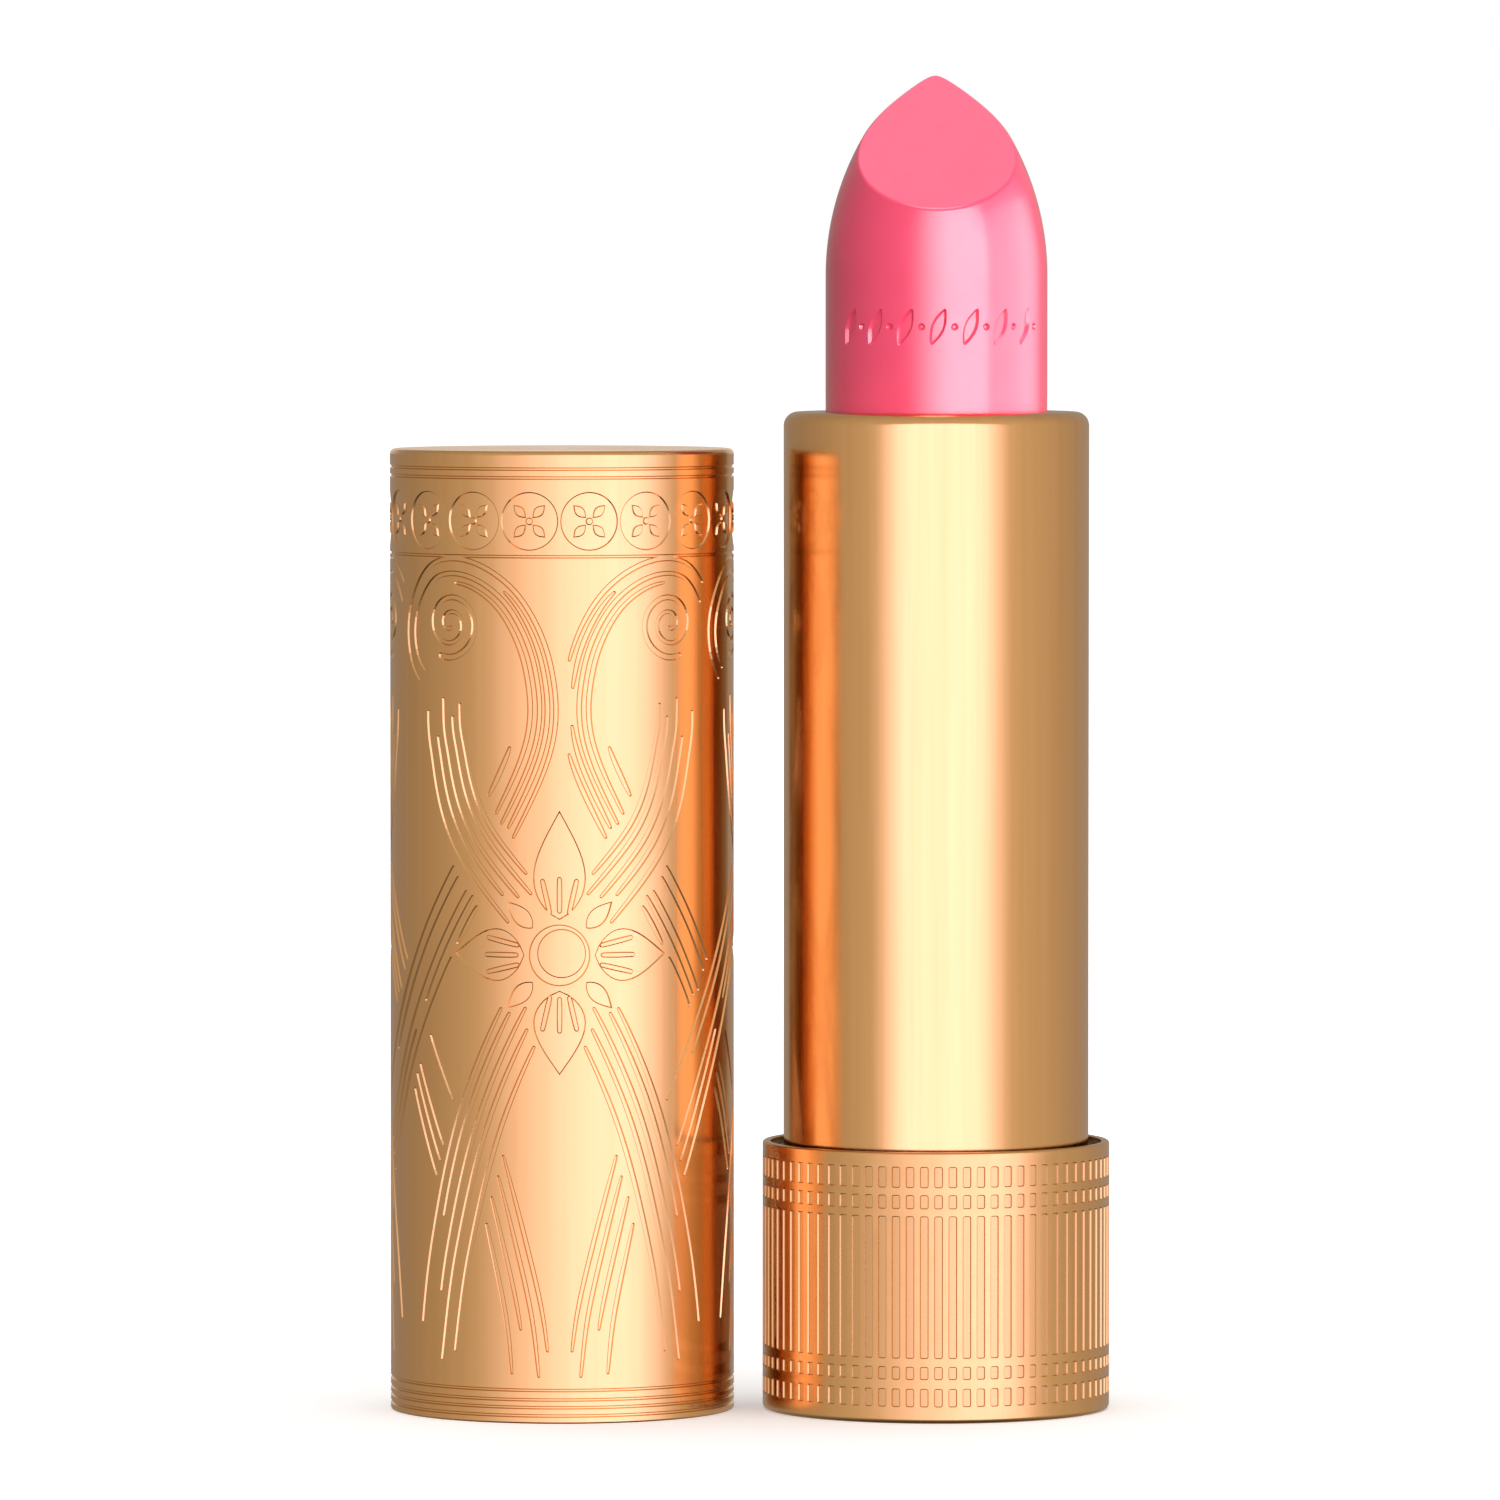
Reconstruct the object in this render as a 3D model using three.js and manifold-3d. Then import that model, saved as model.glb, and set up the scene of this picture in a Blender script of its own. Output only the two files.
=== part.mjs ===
// A twist-up lipstick case with its cap off and standing beside it.
//
// The base stands on the right. It holds a slotted inner body, and a smooth sleeve with a
// helical cam turns round that body. The lipstick sits in a carrier cup whose two pins pass
// through the slots into the cam, so turning the sleeve makes the cup rise or sink.
// The cap stands on its open rim on the left.
//
// Units are millimetres and +Z is up. The origin is on the table, midway along the pair.

import * as THREE from "three";
import { mergeVertices } from "three/addons/utils/BufferGeometryUtils.js";
import Module from "manifold-3d";

const wasm = await Module();
wasm.setup();

// ---------------------------------------------------------------- driving dimensions
const BULLET_R = 6.35; // a half-inch stick of lipstick
const SLEEVE_R = 8.75; // smooth swivel sleeve
const BASE_R = 9.95; // grip at the bottom
const CAP_R = 9.85;
const BASE_H = 15.4; // grip height, and where the closed cap lands
const SLEEVE_TOP = 57.2;
const CAP_H = 55.1;
const AXIS_SPACING = 21.45; // from the cap's axis to the base's axis

const LEAD = 16.8; // rise of the cup for one turn of the sleeve
const TWIST = 450; // degrees of twist from fully up to fully down
const TRAVEL = (LEAD * TWIST) / 360;

// ---------------------------------------------------------------- fits and walls
const SHELL_WALL = 0.45; // drawn aluminium
const SLEEVE_WALL = 0.35;
const RUNNING_GAP = 0.1; // radial gap between pieces that turn or slide on each other
const SEAT_GAP = 0.05; // gap between pieces that are glued or pressed together
const EDGE = 0.3; // rounded outer edges of the shells

const SIDES = 48; // facets round every turned piece
const STEP_DEG = 360 / SIDES;

// ---------------------------------------------------------------- derived places
const LEFT_EDGE = -(CAP_R + AXIS_SPACING + BASE_R) / 2;
const CAP_X = LEFT_EDGE + CAP_R;
const BASE_X = CAP_X + AXIS_SPACING;

const LABEL_RECESS_R = 7.4;
const LABEL_RECESS = 0.15;
const BASE_FLOOR = 0.9; // top of the grip's metal floor

const INSERT_R = BASE_R - SHELL_WALL - SEAT_GAP;
const INSERT_TOP = BASE_H - 0.4; // the dark ring just below the grip's rim
const INSERT_SHELF = 6.0; // underside of the shelf that covers the weight
const SHELF_THICK = 1.0;
const SWIVEL_SEAT = 12.8; // step where the inner body's flange rests

const BODY_R = 7.45; // slotted inner tube
const BODY_BORE = 6.95;
const FOOT_R = 7.9;
const FLANGE_R = 8.25;
const FLANGE_TOP = SWIVEL_SEAT + 0.5;
const BODY_TOP = SLEEVE_TOP - 0.75;

const SPIRAL_BORE = BODY_R + 0.15;
const SPIRAL_R = SLEEVE_R - SLEEVE_WALL - RUNNING_GAP;
const SPIRAL_BOTTOM = FLANGE_TOP + RUNNING_GAP;
const SPIRAL_TOP = BODY_TOP - 0.45;
const TRACK_R = SPIRAL_R - 0.2; // bottom of the helical grooves

const CUP_R = BODY_BORE - RUNNING_GAP;
const CUP_TOP = 55.0;
const CUP_BOTTOM = 42.0;
const CUP_FLOOR = 1.2;
const PIN_R = 0.8;
const PIN_Z = CUP_BOTTOM + 2.6;
const PIN_END = TRACK_R - RUNNING_GAP;
const PIN_CLEARANCE = 0.15;

// The stick's nose: the arcs of its outline seen from the front and from the side, and its cut.
const NOSE_BOTTOM = 65;
const NOSE_TOP = 77.2;
const SIDE_ARC = 15.8;
const BACK_ARC = 41.4;
const SLANT = THREE.MathUtils.degToRad(35.3); // rise of the cut from front to back
const TIP_Y = 4.75;
const TIP_Z = 76.55;

const RING_Z = [15.4, 17.9]; // silicone torque rings on the inner body
const RING_THICK_R = 0.27;
const RING_MID_R = 7.22;

const LINER_R = CAP_R - SHELL_WALL - SEAT_GAP;
const LINER_BORE = SLEEVE_R + 0.2;
const LINER_TOP = 52.1;

// ---------------------------------------------------------------- helpers
const degrees = THREE.MathUtils.degToRad;

// Points of an arc in a lathe profile, centred on (radius, height), from one angle to another.
function arc(radius, height, r, from, to, steps = 3) {
  return Array.from({ length: steps + 1 }, (_, i) => {
    const a = degrees(from + ((to - from) * i) / steps);
    return [radius + r * Math.cos(a), height + r * Math.sin(a)];
  });
}

// A turned solid about +Z from [radius, height] points listed anticlockwise.
function turned(profile) {
  const closed = profile[0][0] > 0 ? [...profile, profile[0]] : profile;
  const points = closed.map(([r, h]) => new THREE.Vector2(r, h));
  return new THREE.LatheGeometry(points, SIDES).rotateX(Math.PI / 2);
}

// A plain ring or tube between two radii and two heights.
function tube(inner, outer, low, high) {
  return turned([[inner, low], [outer, low], [outer, high], [inner, high]]);
}

function solid(geometry) {
  const bare = geometry.clone().deleteAttribute("normal").deleteAttribute("uv");
  const merged = mergeVertices(bare, 1e-4);
  return new wasm.Manifold(
    new wasm.Mesh({
      numProp: 3,
      vertProperties: merged.attributes.position.array,
      triVerts: new Uint32Array(merged.index.array),
    }),
  );
}

function geometryOf(made) {
  const { vertProperties, triVerts } = made.getMesh();
  const geometry = new THREE.BufferGeometry();
  geometry.setAttribute("position", new THREE.BufferAttribute(vertProperties, 3));
  geometry.setIndex(new THREE.BufferAttribute(triVerts, 1));
  geometry.computeVertexNormals();
  return geometry;
}

function cut(geometry, ...tools) {
  const made = tools.reduce((left, tool) => left.subtract(solid(tool)), solid(geometry));
  return geometryOf(made);
}

function joined(geometry, ...others) {
  return geometryOf(others.reduce((sum, other) => sum.add(solid(other)), solid(geometry)));
}

// ---------------------------------------------------------------- base
function baseShell() {
  const inside = BASE_R - SHELL_WALL;
  const lip = 0.15;
  return turned([
    [0, LABEL_RECESS],
    [LABEL_RECESS_R, LABEL_RECESS],
    [LABEL_RECESS_R, 0],
    ...arc(BASE_R - EDGE, EDGE, EDGE, -90, 0),
    ...arc(BASE_R - lip, BASE_H - lip, lip, 0, 90, 2),
    [inside, BASE_H],
    [inside, BASE_FLOOR],
    [0, BASE_FLOOR],
  ]);
}

function baseLabel() {
  const radius = LABEL_RECESS_R - 0.2;
  const bottom = 0.03;
  const top = LABEL_RECESS - 0.03;
  return turned([[0, bottom], [radius, bottom], [radius, top], [0, top]]);
}

function baseWeight() {
  const hole = 2.0;
  const radius = INSERT_R - 0.6;
  const bottom = BASE_FLOOR + SEAT_GAP;
  const top = INSERT_SHELF - SEAT_GAP;
  const chamfer = 0.4;
  return turned([
    [hole, bottom],
    [radius - chamfer, bottom],
    [radius, bottom + chamfer],
    [radius, top - chamfer],
    [radius - chamfer, top],
    [hole, top],
  ]);
}

// The dark plastic holder: a skirt round the weight, a shelf over it, a socket for the inner
// body's foot and a wider mouth that the sleeve turns in.
function baseInsert() {
  const skirtBore = INSERT_R - 0.5;
  const socket = FOOT_R + SEAT_GAP;
  const mouth = SLEEVE_R + 0.25;
  const lip = 0.12;
  return turned([
    [0, INSERT_SHELF],
    [skirtBore, INSERT_SHELF],
    [skirtBore, BASE_FLOOR + SEAT_GAP],
    [INSERT_R, BASE_FLOOR + SEAT_GAP],
    [INSERT_R, INSERT_TOP - lip],
    [INSERT_R - lip, INSERT_TOP],
    [mouth, INSERT_TOP],
    [mouth, SWIVEL_SEAT],
    [socket, SWIVEL_SEAT],
    [socket, INSERT_SHELF + SHELF_THICK],
    [0, INSERT_SHELF + SHELF_THICK],
  ]);
}

// ---------------------------------------------------------------- inner body
// The fixed tube: a foot that plugs into the base, a flange, two ring grooves, two long slots
// that guide the cup's pins, and a snap bead that keeps the cam on.
function innerBody() {
  const footBottom = INSERT_SHELF + SHELF_THICK + SEAT_GAP;
  const footFloor = footBottom + 1.0;
  const thickBore = 6.0;
  const thickTop = 19.5;
  const grooveR = RING_MID_R - RING_THICK_R - 0.03;
  const grooveHalf = RING_THICK_R + 0.1;
  const grooves = RING_Z.flatMap((z) => [
    [BODY_R, z - grooveHalf],
    [grooveR, z - grooveHalf],
    [grooveR, z + grooveHalf],
    [BODY_R, z + grooveHalf],
  ]);
  const beadR = BODY_R + 0.4;
  const beadBottom = SPIRAL_TOP + RUNNING_GAP;
  const bodyProfile = [
    [0, footBottom],
    [FOOT_R, footBottom],
    [FOOT_R, SWIVEL_SEAT + SEAT_GAP],
    [FLANGE_R, SWIVEL_SEAT + SEAT_GAP],
    [FLANGE_R, FLANGE_TOP],
    [BODY_R, FLANGE_TOP],
    ...grooves,
    [BODY_R, beadBottom],
    [beadR, beadBottom],
    [BODY_R, BODY_TOP],
    [BODY_BORE, BODY_TOP],
    [BODY_BORE, thickTop],
    [thickBore, thickTop],
    [thickBore, footFloor],
    [0, footFloor],
  ];
  const width = 2 * (PIN_R + PIN_CLEARANCE);
  const low = PIN_Z - TRAVEL - PIN_R - 2 * PIN_CLEARANCE;
  const high = PIN_Z + PIN_R + 2 * PIN_CLEARANCE;
  const slots = new THREE.BoxGeometry(width, 3 * BODY_R, high - low);
  slots.translate(0, 0, (low + high) / 2);
  return cut(turned(bodyProfile), slots);
}

function torqueRing() {
  const sections = 10;
  return new THREE.TorusGeometry(RING_MID_R, RING_THICK_R, sections, SIDES);
}

// ---------------------------------------------------------------- sleeve
// A bar bent round the axis into a helix. Its long side starts at fromDeg and rises by LEAD a turn.
function helicalBar(inner, outer, height, fromDeg, toDeg, startZ) {
  const steps = Math.round((toDeg - fromDeg) / STEP_DEG);
  const bar = new THREE.BoxGeometry(1, 1, 1, steps, 1, 1);
  const place = bar.attributes.position;
  for (let i = 0; i < place.count; i++) {
    const along = place.getX(i) + 0.5;
    const angle = degrees(fromDeg + (toDeg - fromDeg) * along);
    const radius = inner + (outer - inner) * (0.5 - place.getY(i));
    const rise = (LEAD * (toDeg - fromDeg) * along) / 360;
    const z = startZ + rise + height * place.getZ(i);
    place.setXYZ(i, radius * Math.cos(angle), radius * Math.sin(angle), z);
  }
  return bar;
}

// The cam: a tube with two helical grooves inside it, half a turn apart.
// Each groove starts at the pin's lowest place and ends at its highest, at 90 and 270 degrees.
function camSpiral() {
  const helixAngle = Math.atan(LEAD / (2 * Math.PI * SPIRAL_BORE));
  const grooveHeight = (2 * (PIN_R + PIN_CLEARANCE)) / Math.cos(helixAngle);
  const startZ = PIN_Z - TRAVEL - (LEAD * STEP_DEG) / 360;
  const tracks = [90, 270].map((end) =>
    helicalBar(
      SPIRAL_BORE - 0.4,
      TRACK_R,
      grooveHeight,
      end - TWIST - STEP_DEG,
      end + STEP_DEG,
      startZ,
    ),
  );
  return cut(tube(SPIRAL_BORE, SPIRAL_R, SPIRAL_BOTTOM, SPIRAL_TOP), ...tracks);
}

// The smooth sleeve, with its top rolled over to a mouth that just clears the lipstick.
function sleeveShell() {
  const bottom = SWIVEL_SEAT + 0.8;
  const inside = SLEEVE_R - SLEEVE_WALL;
  const roll = 0.8;
  const mouth = BULLET_R + 0.25;
  const lip = 0.12;
  return turned([
    [inside, bottom],
    [SLEEVE_R, bottom],
    ...arc(SLEEVE_R - roll, SLEEVE_TOP - roll, roll, 0, 90, 4),
    ...arc(mouth + lip, SLEEVE_TOP - lip, lip, 90, 180, 2),
    [mouth, SLEEVE_TOP - 0.4],
    [inside - 0.3, SLEEVE_TOP - 0.4],
    [inside, SLEEVE_TOP - 0.7],
  ]);
}

// ---------------------------------------------------------------- carrier and lipstick
function carrierCup() {
  const vent = 1.5;
  const bore = BULLET_R + 0.07;
  const cup = turned([
    [vent, CUP_BOTTOM],
    [CUP_R - EDGE, CUP_BOTTOM],
    [CUP_R, CUP_BOTTOM + EDGE],
    [CUP_R, CUP_TOP],
    [bore, CUP_TOP],
    [bore, CUP_BOTTOM + CUP_FLOOR],
    [vent, CUP_BOTTOM + CUP_FLOOR],
  ]);
  const pinStart = bore + 0.1;
  const length = PIN_END - pinStart;
  const pinSides = 16;
  const pins = [1, -1].map((side) =>
    new THREE.CylinderGeometry(PIN_R, PIN_R, length, pinSides).translate(
      0,
      side * (pinStart + length / 2),
      PIN_Z,
    ),
  );
  return joined(cup, ...pins);
}

// A round stick that narrows to an ellipse, more at its sides than from front to back, and is
// cut on a slant. The cut faces the front, and the highest point is near the back.
function lipstickBullet() {
  const bottom = CUP_BOTTOM + CUP_FLOOR + SEAT_GAP;
  const steps = 9;
  const top = NOSE_TOP;
  const rings = Array.from({ length: steps + 1 }, (_, i) => {
    const t = Math.sin(((i / steps) * Math.PI) / 2);
    return [BULLET_R, NOSE_BOTTOM + (top - NOSE_BOTTOM) * t];
  });
  const stick = turned([[0, bottom], [BULLET_R, bottom], ...rings, [0, top]]);
  const place = stick.attributes.position;
  for (let i = 0; i < place.count; i++) {
    const rise = Math.max(0, place.getZ(i) - NOSE_BOTTOM);
    place.setX(i, place.getX(i) * (1 - arcDrop(SIDE_ARC, rise) / BULLET_R));
    place.setY(i, place.getY(i) * (1 - arcDrop(BACK_ARC, rise) / BULLET_R));
  }
  const block = 40;
  const slant = new THREE.BoxGeometry(block, block, block)
    .translate(0, 0, block / 2)
    .rotateX(SLANT)
    .translate(0, TIP_Y, TIP_Z);
  return cut(stick, slant);
}

// How far a circular arc has fallen away from its tangent after a run along it.
function arcDrop(radius, run) {
  return radius - Math.sqrt(radius ** 2 - run ** 2);
}

// ---------------------------------------------------------------- cap
function capShell() {
  const inside = CAP_R - SHELL_WALL;
  const rim = 0.12;
  const crown = 0.5;
  return turned([
    [inside, 0],
    [CAP_R - rim, 0],
    [CAP_R, rim],
    ...arc(CAP_R - EDGE, CAP_H - EDGE, EDGE, 0, 90),
    [0, CAP_H],
    [0, CAP_H - crown],
    [inside, CAP_H - crown],
  ]);
}

// The plastic cup inside the cap, with a bead near its mouth that grips the sleeve.
function capLiner() {
  const rim = 0.25;
  const ceiling = 0.8;
  const beadZ = 4.0;
  const beadHalf = 0.5;
  const bead = 0.12;
  return turned([
    [LINER_BORE + 0.15, rim],
    [LINER_R, rim],
    [LINER_R, LINER_TOP],
    [0, LINER_TOP],
    [0, LINER_TOP - ceiling],
    [LINER_BORE, LINER_TOP - ceiling],
    [LINER_BORE, beadZ + beadHalf],
    [LINER_BORE - bead, beadZ],
    [LINER_BORE, beadZ - beadHalf],
    [LINER_BORE, rim + 0.6],
  ]);
}

function capWeight() {
  const radius = LINER_R - 0.2;
  const bottom = LINER_TOP + 0.15;
  const top = CAP_H - 0.7;
  const chamfer = 0.3;
  return turned([
    [0, bottom],
    [radius - chamfer, bottom],
    [radius, bottom + chamfer],
    [radius, top - chamfer],
    [radius - chamfer, top],
    [0, top],
  ]);
}

// ---------------------------------------------------------------- materials
const finish = (color, roughness, metalness) =>
  new THREE.MeshStandardMaterial({ color, roughness, metalness });
const gold = finish(0xd9a760, 0.25, 1);
const engravedGold = finish(0xc99a58, 0.35, 1);
const blackPlastic = finish(0x24262b, 0.4, 0);
const whitePlastic = finish(0xe9e6df, 0.45, 0);
const silicone = finish(0xd8dadb, 0.3, 0);
const steel = finish(0x9a9c9e, 0.35, 1);
const labelFilm = finish(0xf1ece2, 0.8, 0);
const wax = finish(0xf4567c, 0.3, 0);

// ---------------------------------------------------------------- assembly
function piece(name, geometry, material, z = 0) {
  const mesh = new THREE.Mesh(geometry, material);
  mesh.name = name;
  mesh.position.z = z;
  return mesh;
}

const base = new THREE.Group();
base.position.x = BASE_X;
base.add(
  piece("base_shell", baseShell(), gold),
  piece("base_label", baseLabel(), labelFilm),
  piece("base_weight", baseWeight(), steel),
  piece("base_insert", baseInsert(), blackPlastic),
  piece("inner_body", innerBody(), whitePlastic),
  piece("torque_ring_lower", torqueRing(), silicone, RING_Z[0]),
  piece("torque_ring_upper", torqueRing(), silicone, RING_Z[1]),
  piece("cam_spiral", camSpiral(), whitePlastic),
  piece("sleeve_shell", sleeveShell(), gold),
  piece("carrier_cup", carrierCup(), whitePlastic),
  piece("lipstick_bullet", lipstickBullet(), wax),
);

const cap = new THREE.Group();
cap.position.x = CAP_X;
cap.add(
  piece("cap_shell", capShell(), engravedGold),
  piece("cap_liner", capLiner(), blackPlastic),
  piece("cap_weight", capWeight(), steel),
);

const lipstickCase = new THREE.Group();
lipstickCase.add(base, cap);

export default lipstickCase;
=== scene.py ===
"""A twist-up lipstick case and its cap: the visible surfaces, materials, light and camera.

Lengths are in millimetres until a mesh is made. Places come from the CAD frame.
An engraved wall is drawn flat, as (u, z): u runs round the wall from its front, z is height.
Pieces are named for what they are, and each one rides on the CAD body it belongs to.
"""

import math
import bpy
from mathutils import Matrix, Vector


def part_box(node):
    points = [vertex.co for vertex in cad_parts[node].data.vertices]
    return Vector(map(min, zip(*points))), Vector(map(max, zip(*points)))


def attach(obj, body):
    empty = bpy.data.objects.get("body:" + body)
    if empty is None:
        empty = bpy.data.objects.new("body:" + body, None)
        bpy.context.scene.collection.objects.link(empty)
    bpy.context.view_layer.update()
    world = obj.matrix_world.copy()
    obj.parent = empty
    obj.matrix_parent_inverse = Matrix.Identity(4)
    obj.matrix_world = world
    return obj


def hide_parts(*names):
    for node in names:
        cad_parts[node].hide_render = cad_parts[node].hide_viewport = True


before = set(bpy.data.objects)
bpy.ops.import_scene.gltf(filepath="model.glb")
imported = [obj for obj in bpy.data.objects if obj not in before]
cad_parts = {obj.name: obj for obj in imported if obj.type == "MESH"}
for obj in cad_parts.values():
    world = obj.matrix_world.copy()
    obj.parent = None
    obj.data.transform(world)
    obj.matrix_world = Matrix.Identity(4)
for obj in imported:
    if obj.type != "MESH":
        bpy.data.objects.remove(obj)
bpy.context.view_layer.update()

from types import SimpleNamespace

import bpy
import numpy as np
from mathutils import Vector
from mathutils.geometry import delaunay_2d_cdt

MM = 0.001
SIDES = 144  # columns round every turned surface
MERGE = 1e-3  # corners closer than this, in mm, are one vertex
CRISP_ANGLE = 40  # a profile's corner sharper than this, in degrees, stays crisp
NOTHING = 1e-12  # keeps a division by a length of zero from failing
THINNEST = 0.02  # no outline is drawn closer than this, in mm, to a stroke's middle line


# -------- places from the frame
def place(node):
    """A CAD node's axis, radius, lowest and highest height, in millimetres."""
    low, high = (np.array(corner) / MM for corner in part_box(node))
    return SimpleNamespace(
        x=(low[0] + high[0]) / 2,
        y=(low[1] + high[1]) / 2,
        r=(high[0] - low[0]) / 2,
        low=low[2],
        high=high[2],
    )


CAP = place("cap_shell")
GRIP = place("base_shell")
SLEEVE = place("sleeve_shell")
STICK = place("lipstick_bullet")
INSERT = place("base_insert")
LINER = place("cap_liner")


# -------- surfaces with exact normals
def unit(vectors):
    """The same vectors with a length of one."""
    return vectors / np.maximum(np.linalg.norm(vectors, axis=-1, keepdims=True), NOTHING)


def around(radius, height, turn):
    """Points at a turn in radians, which is zero at the front and grows to the right."""
    radius, height, turn = np.broadcast_arrays(radius, height, turn)
    return np.stack([radius * np.sin(turn), -radius * np.cos(turn), height], axis=-1)


TURNS = np.arange(SIDES + 1) * 2 * np.pi / SIDES


class Surface:
    """Gathers faces that carry a normal at each corner, then makes one mesh of them."""

    def __init__(self):
        self.patches = []

    def add(self, corners, normals, material=0):
        """corners and normals are (faces, 3 or 4, 3); material is a number or one per face."""
        self.patches.append((corners, normals, np.broadcast_to(material, len(corners))))

    def strip(self, low, low_normals, high, high_normals):
        """A band of quads between a lower and an upper ring of points."""
        corners = [low[:-1], low[1:], high[1:], high[:-1]]
        normals = [low_normals[:-1], low_normals[1:], high_normals[1:], high_normals[:-1]]
        self.add(np.stack(corners, 1), np.stack(normals, 1))

    def faces(self, vertex_of):
        """Each face that is left once near corners are one: its vertices, corners and material."""
        start = 0
        for corners, _, slots in self.patches:
            for slot in slots.tolist():
                stop = start + corners.shape[1]
                seen = {vertex_of[k]: k for k in range(start, stop)}
                start = stop
                if len(seen) > 2:
                    yield list(seen), list(seen.values()), slot

    def build(self, name, materials, axis):
        """One object of all the faces, placed around an axis."""
        points = np.concatenate([corners.reshape(-1, 3) for corners, _, _ in self.patches])
        normals = np.concatenate([patch.reshape(-1, 3) for _, patch, _ in self.patches])
        cells = np.round(points / MERGE).astype(np.int64)
        _, first, vertex_of = np.unique(cells, axis=0, return_index=True, return_inverse=True)
        faces, corners, slots = zip(*self.faces(vertex_of.ravel().tolist()))
        mesh = bpy.data.meshes.new(name)
        placed = (points[first] + [axis.x, axis.y, 0]) * MM
        mesh.from_pydata(placed.tolist(), [], faces)
        for material in materials:
            mesh.materials.append(material)
        mesh.polygons.foreach_set("material_index", slots)
        mesh.polygons.foreach_set("use_smooth", [True] * len(faces))
        mesh.normals_split_custom_set(normals[np.concatenate(corners)].tolist())
        piece = bpy.data.objects.new(name, mesh)
        bpy.context.scene.collection.objects.link(piece)
        return piece


def profile_normals(profile):
    """The normals at the start and the end of each segment of a (radius, height) line.

    They are shared where the line bends gently, and differ at a crisp corner.
    """
    step = np.diff(profile, axis=0)
    flat = unit(np.stack([step[:, 1], -step[:, 0]], axis=-1))
    starts, ends = flat.copy(), flat.copy()
    limit = math.cos(math.radians(CRISP_ANGLE))
    for i in range(1, len(flat)):
        if flat[i] @ flat[i - 1] > limit:
            starts[i] = ends[i - 1] = unit(flat[i] + flat[i - 1])
    return starts, ends


def turn_profile(surface, profile, wall=None):
    """Adds the surface that a (radius, height) line sweeps. Outside is on the line's right.

    Where the line starts or ends on an upright wall of the radius wall, the two blend.
    """
    profile = np.array(profile, float)
    starts, ends = profile_normals(profile)
    if wall is not None and abs(profile[0, 0] - wall) < MERGE:
        starts[0] = (1, 0)
    if wall is not None and abs(profile[-1, 0] - wall) < MERGE:
        ends[-1] = (1, 0)
    rings = [around(*point, TURNS) for point in profile]
    for low, high, start, end in zip(rings[:-1], rings[1:], starts, ends):
        surface.strip(low, around(*start, TURNS), high, around(*end, TURNS))


def arc(radius, height, r, start, stop, steps=6):
    """Points of a round edge in a profile, from one angle in degrees to another."""
    angles = np.radians(np.linspace(start, stop, steps + 1))
    return [(radius + r * math.cos(a), height + r * math.sin(a)) for a in angles]


# -------- sunken and raised shapes
NEAR = 1.0  # how far outside a shape its depth is still measured
END_STEP = 0.04  # half-width for each step of a stroke's round end
LONGEST_MITRE = 2.5  # how far an outline may move at a sharp corner, as a share of its inset


def near_box(where, points, reach):
    """The numbers of the places that lie within reach of the points' own box."""
    low, high = points.min(0) - reach, points.max(0) + reach
    return np.flatnonzero(((where >= low) & (where <= high)).all(1))


def gap_to_segment(where, a, b):
    """For each place: the share of the way from a to b that is nearest, and how far it is."""
    span = b - a
    t = np.clip(((where - a) @ span) / max(span @ span, NOTHING), 0, 1)
    return t, np.hypot(*(where - a - t[:, None] * span).T)


class Stroke:
    """A line with round ends and a half-width of its own at each point."""

    def __init__(self, points, widths):
        self.points = np.array(points, float)
        self.widths = np.broadcast_to(np.array(widths, float), len(self.points)).copy()

    def moved(self, du):
        return Stroke(self.points + [du, 0], self.widths)

    def mirrored(self):
        return Stroke(self.points * [-1, 1], self.widths)

    def depth_inside(self, where):
        """How far each place is inside the stroke's edge. It is negative outside."""
        best = np.full(len(where), -np.inf)
        near = near_box(where, self.points, self.widths.max() + NEAR)
        ends = zip(self.points[:-1], self.points[1:], self.widths[:-1], self.widths[1:])
        for a, b, wide_a, wide_b in ends:
            t, gap = gap_to_segment(where[near], a, b)
            best[near] = np.maximum(best[near], wide_a + t * (wide_b - wide_a) - gap)
        return best

    def outline(self, inset):
        """The closed line that lies inset inside the edge, or None where it is too narrow."""
        widths = self.widths - inset
        keep = np.flatnonzero(widths > THINNEST)
        if not len(keep):
            return None
        points = self.points[keep[0] : keep[-1] + 1]
        widths = np.maximum(widths[keep[0] : keep[-1] + 1], THINNEST)
        along = unit(np.gradient(points, axis=0)) if len(points) > 1 else np.array([[1.0, 0.0]])
        across = np.stack([-along[:, 1], along[:, 0]], axis=-1)
        end_steps = max(5, int(widths[-1] / END_STEP))
        turns = np.linspace(0.5, -0.5, end_steps + 1)[1:-1] * np.pi
        cos, sin = np.cos(turns)[:, None], np.sin(turns)[:, None]
        head = points[-1] + widths[-1] * (cos * along[-1] + sin * across[-1])
        tail = points[0] - widths[0] * (cos * along[0] + sin * across[0])
        left = points + across * widths[:, None]
        right = points - across * widths[:, None]
        return np.concatenate([left, head, right[::-1], tail])


def disc(centre, radius):
    """A round shape, as a stroke with hardly any length."""
    centre = np.array(centre, float)
    return Stroke([centre, centre + [1e-3, 0]], radius)


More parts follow.
